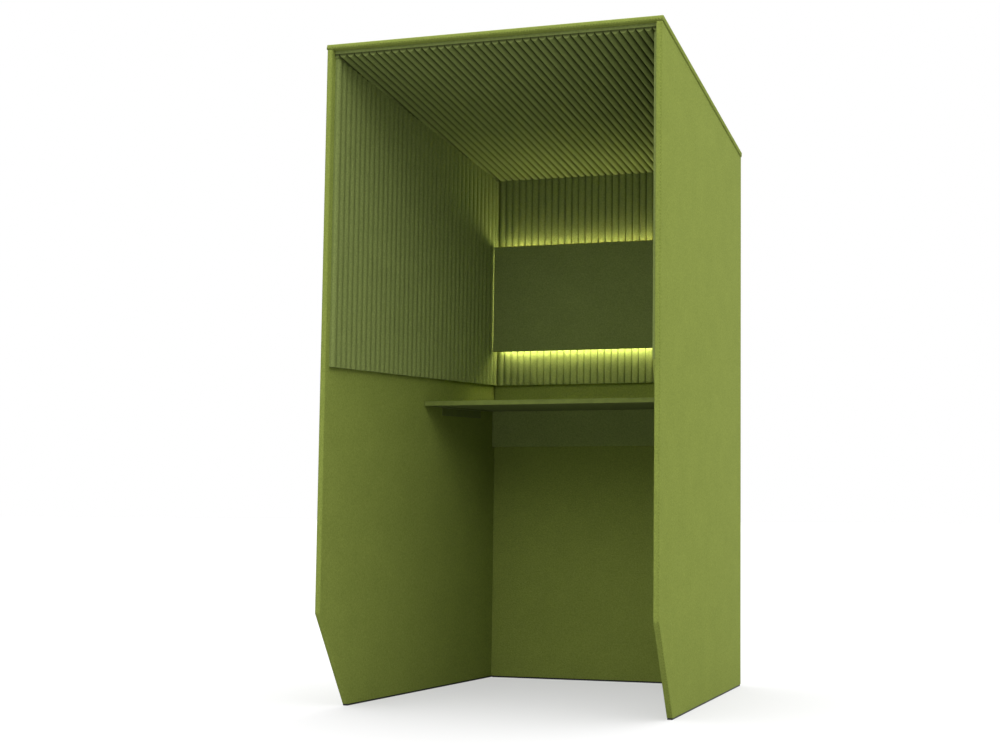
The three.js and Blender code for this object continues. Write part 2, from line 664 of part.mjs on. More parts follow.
// Dowels from the side walls into the ends of the back wall, and from the side walls up into the roof
function buildDowels(walls, back, top) {
  const cornerY = (backInner + backOuter) / 2;
  const inFace = DOWEL_IN_FACE + skin + FIT;
  for (const [side, sign] of [['left', -1], ['right', 1]]) {
    const hosts = [walls[side].cover, walls[side].board];
    for (const [level, height] of Object.entries(CORNER_DOWEL_HEIGHTS)) {
      const place = new THREE.Vector3(sign * innerHalf(cornerY), cornerY, height);
      const turn = [0, (sign * Math.PI) / 2, 0];
      const corner = [...hosts, back.cover, back.board];
      addDowel(`${side}_${level}_corner_dowel`, -DOWEL_IN_EDGE, inFace, place, turn, pod, corner);
    }
    for (const [end, run] of [['front', ROOF_DOWEL_INSET], ['back', roofRun - ROOF_DOWEL_INSET]]) {
      const worldY = top.group.position.y + run * Math.cos(roofPitch) - roof * Math.sin(roofPitch);
      const x = sign * (innerHalf(worldY) + wall / 2 / Math.cos(splay));
      const place = new THREE.Vector3(x, run, -roof);
      const ends = [...hosts, top.cover, top.board];
      addDowel(`${side}_${end}_roof_dowel`, -DOWEL_IN_EDGE, inFace, place, [0, 0, 0], top.group, ends);
    }
  }
}

const walls = { left: buildSideWall('left', 1), right: buildSideWall('right', -1) };
const back = buildBackWall();
const top = buildRoof();
buildCeilingLiner();
buildDesk();
const driverMiddle = buildLampPanel();
buildInlet(driverMiddle, back);
buildDowels(walls, back, top);

export default pod;
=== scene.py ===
"""Looks of the acoustic office pod: felt, ribs, desk, lights, fittings and a plain studio."""

import math
from contextlib import contextmanager

import bmesh
import bpy
from bpy.props import FloatProperty, FloatVectorProperty, IntProperty, PointerProperty
from mathutils import Matrix, Vector


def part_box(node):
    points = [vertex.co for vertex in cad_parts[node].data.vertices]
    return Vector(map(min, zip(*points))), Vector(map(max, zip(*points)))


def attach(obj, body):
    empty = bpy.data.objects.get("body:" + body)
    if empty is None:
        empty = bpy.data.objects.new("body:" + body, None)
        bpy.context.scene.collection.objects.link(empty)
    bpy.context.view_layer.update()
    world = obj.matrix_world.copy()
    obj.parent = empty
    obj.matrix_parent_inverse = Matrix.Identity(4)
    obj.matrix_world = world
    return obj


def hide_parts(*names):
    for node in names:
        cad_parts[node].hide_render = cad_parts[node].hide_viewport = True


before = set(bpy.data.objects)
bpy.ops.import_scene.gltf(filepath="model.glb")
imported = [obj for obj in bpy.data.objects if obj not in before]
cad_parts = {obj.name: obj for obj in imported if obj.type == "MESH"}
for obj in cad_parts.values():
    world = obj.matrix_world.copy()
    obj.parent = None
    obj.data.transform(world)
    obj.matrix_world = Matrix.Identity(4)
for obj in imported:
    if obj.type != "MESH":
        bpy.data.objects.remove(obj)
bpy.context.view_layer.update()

bl_info = {
    "name": "Acoustic office pod",
    "version": (1, 0, 0),
    "blender": (4, 5, 0),
    "location": "View3D > Sidebar > Pod",
    "description": "Dresses the pod's frame with felt, ribs, a desk, lights and fittings",
    "category": "Object",
}

SIDES = ("left", "right")
WALLS = (*SIDES, "back")
LIGHT_RUNS = ("top", "bottom", *SIDES)

# Directions and axes of the shared frame
DOWN = Vector((0, 0, -1))
UP = Vector((0, 0, 1))
BACK = Vector((0, 1, 0))
LEFT = Vector((-1, 0, 0))
RIGHT = Vector((1, 0, 0))
X_AXIS = 0
Z_AXIS = 2

# Points nearer than this are one point, and faces flatter than this are one face
WELD = 1e-5
FLAT_ANGLE = math.radians(0.5)
# Points and faces are sorted along this slant
SORTING_WAY = Vector((1.0, 3.1, 9.7))
# Edges sharper than these stay sharp in the shading
SLEEVE_SHARP_ANGLE = math.radians(40)
RIB_SHARP_ANGLE = math.radians(60)
# A face is at the front if its normal's Y is below this, and a corner if it is this near the foremost one
FRONT_FACING = -0.5
FRONT_BAND = 0.003
# How far the inlet's rim laps over the hole in the felt
HOLE_MARGIN = 0.002

# Ribs are made with unit length, and a point past the middle belongs to their far end
UNIT_LENGTH = 1.0
MIDWAY = 0.5
# The attribute that keeps a point's height on its rib, which sets the felt's painted shade between ribs
RIB_HEIGHT = "rib_height"

# Facets of the small repeated shapes
STITCH_SEGMENTS = 6
STITCH_RINGS = 4
SCREW_SEGMENTS = 16
SCREW_RINGS = 8
# A screw head's dome and cross, as shares of its radius
DOME_RISE = 0.55
CROSS_LENGTH = 1.1
CROSS_WIDTH = 0.24
CROSS_DEPTH = 0.5
SCREW_COUNT = 2
# The inlet's pins, in metres; the root is the length let into the recess's floor
PIN_COUNT = 3
PIN_WIDTH = 0.002
PIN_HEIGHT = 0.004
PIN_ROOT = 0.0005

# Noise patterns: cells per metre, detail, roughness, and the low end that becomes 0
FELT_FIBRES = {"cells": 420, "detail": 5.0, "roughness": 0.75, "low": 0.36}
FELT_MOTTLE = {"cells": 170, "detail": 4.0, "roughness": 0.7, "low": 0.34}
FELT_CLOUDS = {"cells": 9, "detail": 2.0, "roughness": 0.5, "low": 0.3}
HANDLING_MARKS = {"cells": 35, "detail": 4.0, "roughness": 0.6, "low": 0.35}
WOOD_GRAIN = {"cells": 1.0, "detail": 5.0, "roughness": 0.7, "low": 0.32}
LIGHT_PULSE = {"cells": 60, "detail": 1.0, "roughness": 0.6, "low": 0.3}
# Shares of the felt's patterns in its colour, and of the fibres in its relief
FIBRE_SHARE = 0.4
MOTTLE_SHARE = 0.5
CLOUD_SHARE = 0.1
FIBRE_RELIEF = 0.6
# Painted shade between ribs: its strength, the heights on a rib where it starts to fade and is gone, and how
# dark the painted shade's colour is
WALL_VALLEY_SHADE = {"valley_shade": 0.3, "reach": (0.0, 0.45)}
# Painted shade in the ceiling's valleys, stronger than on the walls
CEILING_VALLEY_SHADE = {"valley_shade": 0.85, "reach": (0.25, 0.95)}
VALLEY_SHADE_DARKNESS = 0.12
SHEEN_TINT = (0.75, 0.85, 0.35, 1)
# Cells per metre of brushed metal, along and across the brushing, and across the grain of wood
BRUSH_ALONG = 14.0
BRUSH_ACROSS = 900.0
GRAIN_ACROSS = 260.0
GLOW_STRENGTH = 5.0

# The photograph's camera: place in metres, turns in degrees, sizes in pixels of its 1000 x 755 frame
IMAGE_WIDTH = 1000
IMAGE_HEIGHT = 755
CAMERA_PLACE = (2.3743, -5.3745, 0.7129)
CAMERA_YAW = -17.476
CAMERA_PITCH = 4.973
CAMERA_ROLL = 0.044
FOCAL_PIXELS = 1672
OPTICAL_CENTRE = (741, 345)
SENSOR_WIDTH = 36

# The studio: its floor, the sky's light by height from level (0) to straight up (1), and the key lamp
WHITE = (1, 1, 1, 1)
FLOOR_HALF = 30.0
FLOOR_COLOUR = (0.3, 0.3, 0.3, 1)
FLOOR_LIFT = 0.45
HORIZON_LIGHT = 0.0
SKY_LIGHT = 3.1
SKY_START_HEIGHT = 0.1
SKY_FULL_HEIGHT = 0.8
KEY_PLACE = Vector((4.6, -4.4, 4.6))
KEY_AIM = Vector((0, 0, 1.1))
KEY_SIZE = 3.6
KEY_POWER = 40.0
# Lamps behind the lamp panel's edges: depth and inset in metres, and length as a share of the edge's
GLOW_DEPTH = 0.016
GLOW_INSET = 0.010
GLOW_SHARE = 0.94
# For each edge: the way that its light leaves, the lean to the wall (below 0 away from it), and watts
GLOW_EDGES = {
    "above": (UP, -1.0, 1.8),
    "below": (DOWN, 0.3, 1.2),
    "left": (LEFT, 0.1, 0.35),
    "right": (RIGHT, 0.1, 0.35),
}

# Materials and node trees that are already made
FINISHES = {}
TREES = {}


def length_property(name, description, default):
    """A size in metres for the sidebar."""
    return FloatProperty(name=name, description=description, default=default, unit="LENGTH", precision=4)


def colour_property(name, description, default):
    """A linear colour for the sidebar."""
    return FloatVectorProperty(
        name=name, description=description, default=default, subtype="COLOR", size=3, min=0, max=1
    )


class PodSizes(bpy.types.PropertyGroup):
    """Sizes of the felt, ribs, stitches, lights and fittings."""

    felt: length_property("Felt", "Thickness of the felt sleeves", 0.0024)
    edge_round: length_property("Edge rounding", "Radius of the felt at the boards' edges", 0.0020)
    front_round: length_property("Front rounding", "Radius of the felt at the front edges", 0.0045)
    round_steps: IntProperty(name="Rounding steps", description="Facets round a felt edge", default=3, min=1)
    rib_pitch: length_property("Rib pitch", "Distance from rib to rib", 0.0279)
    rib_depth: length_property("Rib depth", "Height of a wall rib above its valley", 0.010)
    ceiling_rib: length_property("Ceiling rib depth", "Height of a ceiling rib above its valley", 0.013)
    rib_steps: IntProperty(name="Rib steps", description="Facets across one rib", default=16, min=4)
    stitch_pitch: length_property("Stitch pitch", "Distance from stitch to stitch", 0.010)
    stitch_length: length_property("Stitch length", "Length of one stitch", 0.0055)
    stitch_radius: length_property("Stitch radius", "Half the thickness of the thread", 0.0007)
    stitch_inset: length_property("Stitch inset", "Seam in from the edge that it follows", 0.004)
    light_pitch: length_property("Light pitch", "Distance from light to light on a strip", 0.0166)
    light_size: length_property("Light size", "Length and width of one light", 0.0035)
    light_rise: length_property("Light rise", "Height of one light above its strip", 0.0012)
    pin_spacing: length_property("Pin spacing", "Distance between the inlet's pins", 0.007)
    pin_length: length_property("Pin length", "Length of an inlet pin in its recess", 0.012)
    recess_depth: length_property("Recess depth", "Depth of the inlet's recess", 0.016)
    screw_spacing: length_property("Screw spacing", "Distance between the inlet's screws", 0.042)
    screw_radius: length_property("Screw radius", "Radius of the inlet's screw heads", 0.0024)


class PodColours(bpy.types.PropertyGroup):
    """Linear colours of the pod's finishes."""

    felt_light: colour_property("Light felt fibres", "Lighter fibres of the felt", (0.280, 0.338, 0.071))
    felt_dark: colour_property("Dark felt fibres", "Darker fibres of the felt", (0.156, 0.196, 0.037))
    lining_light: colour_property("Light lining", "Lighter fibres of the linings", (0.272, 0.330, 0.100))
    lining_dark: colour_property("Dark lining", "Darker fibres of the linings", (0.150, 0.188, 0.053))
    thread: colour_property("Thread", "Thread of the edge seams", (0.120, 0.150, 0.030))
    desk: colour_property("Desk", "Green desk sheet", (0.165, 0.205, 0.046))
    black: colour_property("Black plastic", "Rails, inlet and switch", (0.018, 0.018, 0.016))
    coated: colour_property("Powder coat", "Desk angles", (0.120, 0.150, 0.035))
    zinc: colour_property("Zinc", "Levelling feet, pins and screws", (0.560, 0.565, 0.560))
    aluminium: colour_property("Aluminium", "Hangers and light channels", (0.640, 0.645, 0.640))
    rubber: colour_property("Rubber", "Buffers", (0.020, 0.020, 0.019))
    circuit: colour_property("Circuit strip", "White circuit strip", (0.780, 0.770, 0.700))
    glow: colour_property("Glow", "Light from the diffusers", (1.000, 0.930, 0.580))
    white: colour_property("White plastic", "Lamp driver and small lights", (0.740, 0.740, 0.710))
    board: colour_property("Board", "Raw fibreboard", (0.440, 0.300, 0.150))
    beech: colour_property("Beech", "Dowels", (0.560, 0.390, 0.190))


def sizes():
    """The sizes set in the sidebar."""
    return bpy.context.scene.pod_sizes


def colours():
    """The colours set in the sidebar."""
    return bpy.context.scene.pod_colours


# Node helpers
def feed(tree, socket, value):
    """Links another node's output to a socket, or sets a constant on the socket itself."""
    if isinstance(value, bpy.types.NodeSocket):
        tree.links.new(value, socket)
    else:
        socket.default_value = value


def set_inputs(tree, node, **values):
    """Sets or links a node's inputs by name, with underscores for spaces."""
    for name, value in values.items():
        feed(tree, node.inputs[name.replace("_", " ")], value)


def add_node(tree, kind, settings=None, **values):
    """Adds a node, then sets its own settings and its inputs."""
    node = tree.nodes.new(kind)
    for name, value in (settings or {}).items():
        setattr(node, name, value)
    set_inputs(tree, node, **values)
    return node


def math_node(tree, operation, *operands):
    """Adds a maths node on numbers or sockets and gives its result."""
    node = add_node(tree, "ShaderNodeMath", {"operation": operation})
    for socket, operand in zip(node.inputs, operands):
        feed(tree, socket, operand)
    return node.outputs[0]


def map_range(tree, value, start=(0, 1), end=(0, 1), blend="LINEAR"):
    """Carries a value from a start range over to an end range."""
    node = add_node(
        tree,
        "ShaderNodeMapRange",
        {"interpolation_type": blend},
        Value=value,
        From_Min=start[0],
        From_Max=start[1],
        To_Min=end[0],
        To_Max=end[1],
    )
    return node.outputs["Result"]


def opaque(colour):
    """A colour with full alpha; a colour socket stays as it is."""
    return colour if isinstance(colour, bpy.types.NodeSocket) else (*colour, 1)


def mix_colours(tree, share, first, second):
    """Mixes two colours or colour sockets by a share."""
    node = add_node(tree, "ShaderNodeMix", {"data_type": "RGBA"})
    ends = (("Factor", "VALUE", share), ("A", "RGBA", opaque(first)), ("B", "RGBA", opaque(second)))
    for name, kind, value in ends:
        socket = next(s for s in node.inputs if s.name == name and s.type == kind)
        feed(tree, socket, value)
    return next(s for s in node.outputs if s.type == "RGBA")


def scaled(colour, factor):
    """A colour made lighter or darker."""
    return tuple(min(1.0, part * factor) for part in colour)


# Materials
def new_material(name):
    """An empty node material with its tree, shader and object coordinates."""
    material = bpy.data.materials.new(name)
    material.use_nodes = True
    tree = material.node_tree
    tree.nodes.clear()
    shader = add_node(tree, "ShaderNodeBsdfPrincipled")
    add_node(tree, "ShaderNodeOutputMaterial", Surface=shader.outputs["BSDF"])
    place = add_node(tree, "ShaderNodeTexCoord").outputs["Object"]
    return material, tree, shader, place


def noise(tree, place, cells, detail, roughness=0.6):
    """A noise pattern with so many cells per metre."""
    node = add_node(
        tree, "ShaderNodeTexNoise", Vector=place, Scale=cells, Detail=detail, Roughness=roughness
    )
    return node.outputs["Fac"]


def speckle(tree, place, cells, detail, roughness, low):
    """A noise pattern whose middle, from low to 1 - low, is spread over 0 to 1."""
    return map_range(tree, noise(tree, place, cells, detail, roughness), (low, 1 - low))


def drawn_out(tree, place, axis, along, across):
    """Coordinates with so many cells per metre along one axis and across it."""
    cells = [along if each == axis else across for each in range(3)]
    return add_node(tree, "ShaderNodeMapping", Vector=place, Scale=cells).outputs["Vector"]


def shade(tree, pattern, colour, darkest, lightest):
    """A colour that a pattern takes from its darkest to its lightest share."""
    return mix_colours(tree, pattern, scaled(colour, darkest), scaled(colour, lightest))


def vary_roughness(tree, shader, pattern, middle, spread):
    """Lets the roughness follow a pattern, to both sides of its middle."""
    roughness = map_range(tree, pattern, end=(middle - spread, middle + spread))
    set_inputs(tree, shader, Roughness=roughness)


def relief(tree, shader, height, depth, strength):
    """Raises the surface by a pattern."""
    bump = add_node(tree, "ShaderNodeBump", Strength=strength, Distance=depth, Height=height)
    set_inputs(tree, shader, Normal=bump.outputs["Normal"])


def felt_material(name, light, dark, valley_shade=0.0, reach=(0.0, 1.0)):
    """Pressed wool felt: mottled fibres, a soft fuzz, and painted shade that darkens the colour where the
    ribs meet.

    The painted shade is full below the first height of the reach and gone above the second, as shares of a
    rib.
    """
    material, tree, shader, place = new_material(name)
    fibres = speckle(tree, place, **FELT_FIBRES)
    mottle = speckle(tree, place, **FELT_MOTTLE)
    clouds = speckle(tree, place, **FELT_CLOUDS)
    blend = math_node(tree, "MULTIPLY", fibres, FIBRE_SHARE)
    blend = math_node(tree, "MULTIPLY_ADD", mottle, MOTTLE_SHARE, blend)
    blend = math_node(tree, "MULTIPLY_ADD", clouds, CLOUD_SHARE, blend)
    colour = mix_colours(tree, blend, dark, light)
    if valley_shade:
        # Painted shade: the colour is darkened towards the valleys between ribs, by each point's height on
        # its rib
        height = add_node(tree, "ShaderNodeAttribute", {"attribute_name": RIB_HEIGHT}).outputs["Fac"]
        depth = map_range(tree, height, reach, (valley_shade, 0))
        colour = mix_colours(tree, depth, colour, scaled(dark, VALLEY_SHADE_DARKNESS))
    set_inputs(tree, shader, Base_Color=colour, Roughness=0.95, Specular_IOR_Level=0.03)
    set_inputs(tree, shader, Sheen_Weight=0.02, Sheen_Roughness=0.6, Sheen_Tint=SHEEN_TINT)
    fuzz = math_node(tree, "MULTIPLY_ADD", fibres, FIBRE_RELIEF, mottle)
    relief(tree, shader, fuzz, depth=0.0008, strength=0.55)
    return material


def plastic_material(name, colour, roughness, grain=900.0, depth=0.0002, shine=0.4):
    """Moulded plastic, rubber or powder coat with a fine grain and faint handling marks."""
    material, tree, shader, place = new_material(name)
    marks = speckle(tree, place, **HANDLING_MARKS)
    fine = noise(tree, place, cells=grain, detail=2.0)
    marked = shade(tree, marks, colour, darkest=0.88, lightest=1.1)
    set_inputs(tree, shader, Base_Color=marked, Specular_IOR_Level=shine)
    vary_roughness(tree, shader, marks, middle=roughness, spread=0.06)
    relief(tree, shader, fine, depth=depth, strength=0.4)
    return material


def metal_material(name, colour, roughness, axis):
    """Drawn or plated metal, brushed along one axis."""
    material, tree, shader, place = new_material(name)
    brushed = drawn_out(tree, place, axis, along=BRUSH_ALONG, across=BRUSH_ACROSS)
    grain = noise(tree, brushed, cells=1.0, detail=3.0)
    streaked = shade(tree, grain, colour, darkest=0.85, lightest=1.1)
    set_inputs(tree, shader, Base_Color=streaked, Metallic=1.0)
    vary_roughness(tree, shader, grain, middle=roughness, spread=0.07)
    relief(tree, shader, grain, depth=0.0001, strength=0.25)
    return material


def wood_material(name, colour, axis, along):
    """Pressed board or beech, with short fibres or grain along one axis."""
    material, tree, shader, place = new_material(name)
    fibres = drawn_out(tree, place, axis, along=along, across=GRAIN_ACROSS)
    grain = speckle(tree, fibres, **WOOD_GRAIN)
    streaked = shade(tree, grain, colour, darkest=0.7, lightest=1.15)
    set_inputs(tree, shader, Base_Color=streaked, Roughness=0.8)
    relief(tree, shader, grain, depth=0.0003, strength=0.4)
    return material


def diffuser_material(name, colour, strength):
    """Opal strip, lit from behind, a little uneven along its length."""
    material, tree, shader, place = new_material(name)
    pulse = speckle(tree, place, **LIGHT_PULSE)
    lit = shade(tree, pulse, colour, darkest=0.88, lightest=1.0)
    set_inputs(
        tree, shader, Base_Color=lit, Emission_Color=lit, Emission_Strength=strength, Roughness=0.45
    )
    return material


def make_finish(name):
    """Makes the material of one named finish."""
    paint = colours()
    sleeve = (paint.felt_light, paint.felt_dark)
    lining = (paint.lining_light, paint.lining_dark)
    thread = (paint.thread, scaled(paint.thread, 0.7))
    dyed = scaled(paint.desk, 0.8)
    desk_sheet = {"roughness": 0.7, "grain": 1400.0, "shine": 0.12}
    powder_coat = {"roughness": 0.55, "grain": 1800.0, "depth": 0.0003}
    soft_rubber = {"roughness": 0.75, "grain": 1200.0, "depth": 0.0003}
    makers = {
        "wall felt": lambda: felt_material("pod_wall_felt", *sleeve),
        "panel felt": lambda: felt_material("pod_panel_felt", *lining),
        "rib felt": lambda: felt_material("pod_rib_felt", *lining, **WALL_VALLEY_SHADE),
        "ceiling felt": lambda: felt_material("pod_ceiling_felt", *lining, **CEILING_VALLEY_SHADE),
        "thread": lambda: felt_material("pod_thread", *thread),
        "desk": lambda: plastic_material("pod_desk_sheet", paint.desk, **desk_sheet),
        "black": lambda: plastic_material("pod_black_plastic", paint.black, roughness=0.5),
        "coated": lambda: plastic_material("pod_powder_coat", paint.coated, **powder_coat),
        "rubber": lambda: plastic_material("pod_buffer_rubber", paint.rubber, **soft_rubber),
        "circuit": lambda: plastic_material("pod_circuit_strip", paint.circuit, roughness=0.45),
        "white": lambda: plastic_material("pod_driver_plastic", paint.white, roughness=0.45),
        "zinc": lambda: metal_material("pod_zinc", paint.zinc, roughness=0.35, axis=Z_AXIS),
        "aluminium": lambda: metal_material("pod_aluminium", paint.aluminium, roughness=0.4, axis=X_AXIS),
        "board": lambda: wood_material("pod_fibreboard", paint.board, axis=Z_AXIS, along=160.0),
        "dyed board": lambda: wood_material("pod_dyed_board", dyed, axis=X_AXIS, along=160.0),
        "beech": lambda: wood_material("pod_beech", paint.beech, axis=X_AXIS, along=20.0),
        "glow": lambda: diffuser_material("pod_diffuser", paint.glow, GLOW_STRENGTH),
    }
    return makers[name]()


def finish(name):
    """The material of one named finish, made once."""
    if name not in FINISHES:
        FINISHES[name] = make_finish(name)
    return FINISHES[name]


def dress(finish_name, *nodes):
    """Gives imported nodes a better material."""
    for node in nodes:
        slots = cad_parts[node].data.materials
        slots.clear()
        slots.append(finish(finish_name))


# Meshes
def add_object(name, data):
    """Links a mesh, lamp or camera into the scene at the origin."""
    item = bpy.data.objects.new(name, data)
    bpy.context.scene.collection.objects.link(item)
    return item


def mesh_of(shell, name):
    """Turns a bmesh into a mesh and frees it."""
    mesh = bpy.data.meshes.new(name)
    shell.to_mesh(mesh)
    shell.free()
    return mesh


@contextmanager
def opened(mesh):
    """Opens a mesh for editing and writes the changes back."""
    shell = bmesh.new()
    shell.from_mesh(mesh)
    yield shell
    shell.to_mesh(mesh)
    shell.free()


def corners_of(node):
    """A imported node's vertices as vectors."""
    return [vertex.co.copy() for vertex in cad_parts[node].data.vertices]


def hull_of(node):
    """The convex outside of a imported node, with flat faces joined."""
    shell = bmesh.new()
    for corner in corners_of(node):
        shell.verts.new(corner)
    bmesh.ops.remove_doubles(shell, verts=shell.verts, dist=WELD)
    made = bmesh.ops.convex_hull(shell, input=shell.verts)
    spare = dict.fromkeys(made["geom_interior"] + made["geom_unused"])
    inner = [item for item in spare if isinstance(item, bmesh.types.BMVert)]
    bmesh.ops.delete(shell, geom=inner, context="VERTS")
    bmesh.ops.dissolve_limit(shell, angle_limit=FLAT_ANGLE, verts=shell.verts, edges=shell.edges)
    bmesh.ops.recalc_face_normals(shell, faces=shell.faces)
    return shell


def facing(shell, way):
    """The face that looks most in a direction."""
    return max(shell.faces, key=lambda face: face.normal.dot(way))


def smooth_outward(shell):
    """Turns faces outwards and shades them smooth."""
    bmesh.ops.recalc_face_normals(shell, faces=shell.faces)
    for face in shell.faces:
        face.smooth = True


def put_in_order(shell):
    """Sorts points and faces by their place, so that every run gives the same mesh."""
    shell.verts.sort(key=lambda vertex: vertex.co.dot(SORTING_WAY))
    shell.faces.sort(key=lambda face: face.calc_center_median().dot(SORTING_WAY))


def settle(piece, body, finish_name=None, replaces=()):
    """Gives a piece its finish, its body and the nodes that it stands for."""
    if finish_name:
        piece.data.materials.clear()
        piece.data.materials.append(finish(finish_name))
    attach(piece, body)
    if replaces:
        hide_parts(*replaces)


def keep_result(piece, modifier):
    """Keeps what a modifier makes as the piece's plain mesh."""
    graph = bpy.context.evaluated_depsgraph_get()
    mesh = bpy.data.meshes.new_from_object(piece.evaluated_get(graph))
    mesh.name = piece.name
    piece.modifiers.remove(modifier)
    piece.data = mesh


def cut_hole(piece, low, high):
    """Cuts a box-shaped hole through a piece."""
    shell = bmesh.new()
    bmesh.ops.create_cube(shell, size=1.0)
    for vertex in shell.verts:
        vertex.co = [low[axis] + (high[axis] - low[axis]) * (vertex.co[axis] + 0.5) for axis in range(3)]
    cutter = add_object("hole_cutter", mesh_of(shell, "hole_cutter"))
    modifier = piece.modifiers.new("hole", "BOOLEAN")
    modifier.operation = "DIFFERENCE"
    modifier.solver = "EXACT"
    modifier.object = cutter
    keep_result(piece, modifier)
    bpy.data.objects.remove(cutter)


def round_edges(piece, front_round):
    """Rounds a sleeve's folded edges, those of its front faces by a radius of their own."""
    size = sizes()
    widest = max(front_round, size.edge_round)
    with opened(piece.data) as shell:
        share = shell.edges.layers.float.new("bevel_weight_edge")
        for edge in shell.edges:
            if len(edge.link_faces) == 2:
                at_front = any(face.normal.y < FRONT_FACING for face in edge.link_faces)
                edge[share] = (front_round if at_front else size.edge_round) / widest
    modifier = piece.modifiers.new("folds", "BEVEL")
    modifier.limit_method = "WEIGHT"
    modifier.width = widest
    modifier.segments = size.round_steps
    keep_result(piece, modifier)


def felt_sleeve(name, node, body, openings=(), flaps=(), hole=None, felt="wall felt", front_round=None):
    """Felt wrapped over a board, rounded at its edges.

    The sleeve is open on some sides, and a flap covers the board's end on others. A hole is cut if given.
    """
    size = sizes()
    shell = hull_of(node)
    for way in flaps:
        flap = facing(shell, way)
        push = flap.normal * size.felt
        for vertex in flap.verts:
            vertex.co += push
    open_sides = [facing(shell, way) for way in openings]
    bmesh.ops.delete(shell, geom=open_sides, context="FACES")
    piece = add_object(name, mesh_of(shell, name))
    round_edges(piece, front_round or size.edge_round)
    with opened(piece.data) as shell:
        smooth_outward(shell)
        bmesh.ops.solidify(shell, geom=shell.faces, thickness=size.felt)
        put_in_order(shell)
    if hole:
        cut_hole(piece, *hole)
    piece.data.set_sharp_from_angle(angle=SLEEVE_SHARP_ANGLE)
    settle(piece, body, felt, [node])


# Geometry node trees
def new_tree(name, counts=(), lengths=(), vectors=(), with_geometry=False):
    """A geometry node tree with named inputs and a finish. Gives it, its inputs and their identifiers."""
    tree = bpy.data.node_groups.new(name, "GeometryNodeTree")
    labels = {
        "NodeSocketGeometry": ["Geometry"] if with_geometry else [],
        "NodeSocketInt": counts,
        "NodeSocketFloat": lengths,
        "NodeSocketVector": vectors,
        "NodeSocketMaterial": ["Finish"],
    }
    keys = {}
    for kind, group in labels.items():
        for label in group:
            socket = tree.interface.new_socket(label, in_out="INPUT", socket_type=kind)
            keys[label] = socket.identifier
    tree.interface.new_socket("Geometry", in_out="OUTPUT", socket_type="NodeSocketGeometry")
    entry = tree.nodes.new("NodeGroupInput")
    return tree, entry.outputs, keys


def end_tree(tree, geometry, material):
    """Ends a tree in real geometry with its material."""
    real = add_node(tree, "GeometryNodeRealizeInstances", Geometry=geometry).outputs["Geometry"]
    painted = add_node(tree, "GeometryNodeSetMaterial", Geometry=real, Material=material)
    add_node(tree, "NodeGroupOutput", Geometry=painted.outputs["Geometry"])


def vector_node(tree, x=0.0, y=0.0, z=0.0):
    """A vector from numbers or sockets."""
    return add_node(tree, "ShaderNodeCombineXYZ", X=x, Y=y, Z=z).outputs["Vector"]


def row_of(tree, shape, count, offset, start=(0, 0, 0), scale=(1, 1, 1)):
    """A row of copies of a shape, each an offset from the one before."""
    line = add_node(tree, "GeometryNodeMeshLine", Count=count, Start_Location=start, Offset=offset)
    copies = add_node(
        tree, "GeometryNodeInstanceOnPoints", Points=line.outputs["Mesh"], Instance=shape, Scale=scale
    )
    return copies.outputs["Instances"]


def run_tree(name, maker, values, start=None):
    """Runs a tree on its own object and keeps the result as a plain mesh. Each tree is made once."""
    if maker not in TREES:
        TREES[maker] = maker()
    tree, keys = TREES[maker]
    piece = add_object(name, start or bpy.data.meshes.new(name))
    modifier = piece.modifiers.new(tree.name, "NODES")
    modifier.node_group = tree
    for label, value in values.items():
        modifier[keys[label]] = value
    keep_result(piece, modifier)
    return piece


def mark_height(tree, mesh, share):
    """Marks a lining's points with their height, from 0 in a valley to 1 on a crest."""
    node = add_node(tree, "GeometryNodeStoreNamedAttribute", Geometry=mesh, Name=RIB_HEIGHT, Value=share)
    return node.outputs["Geometry"]


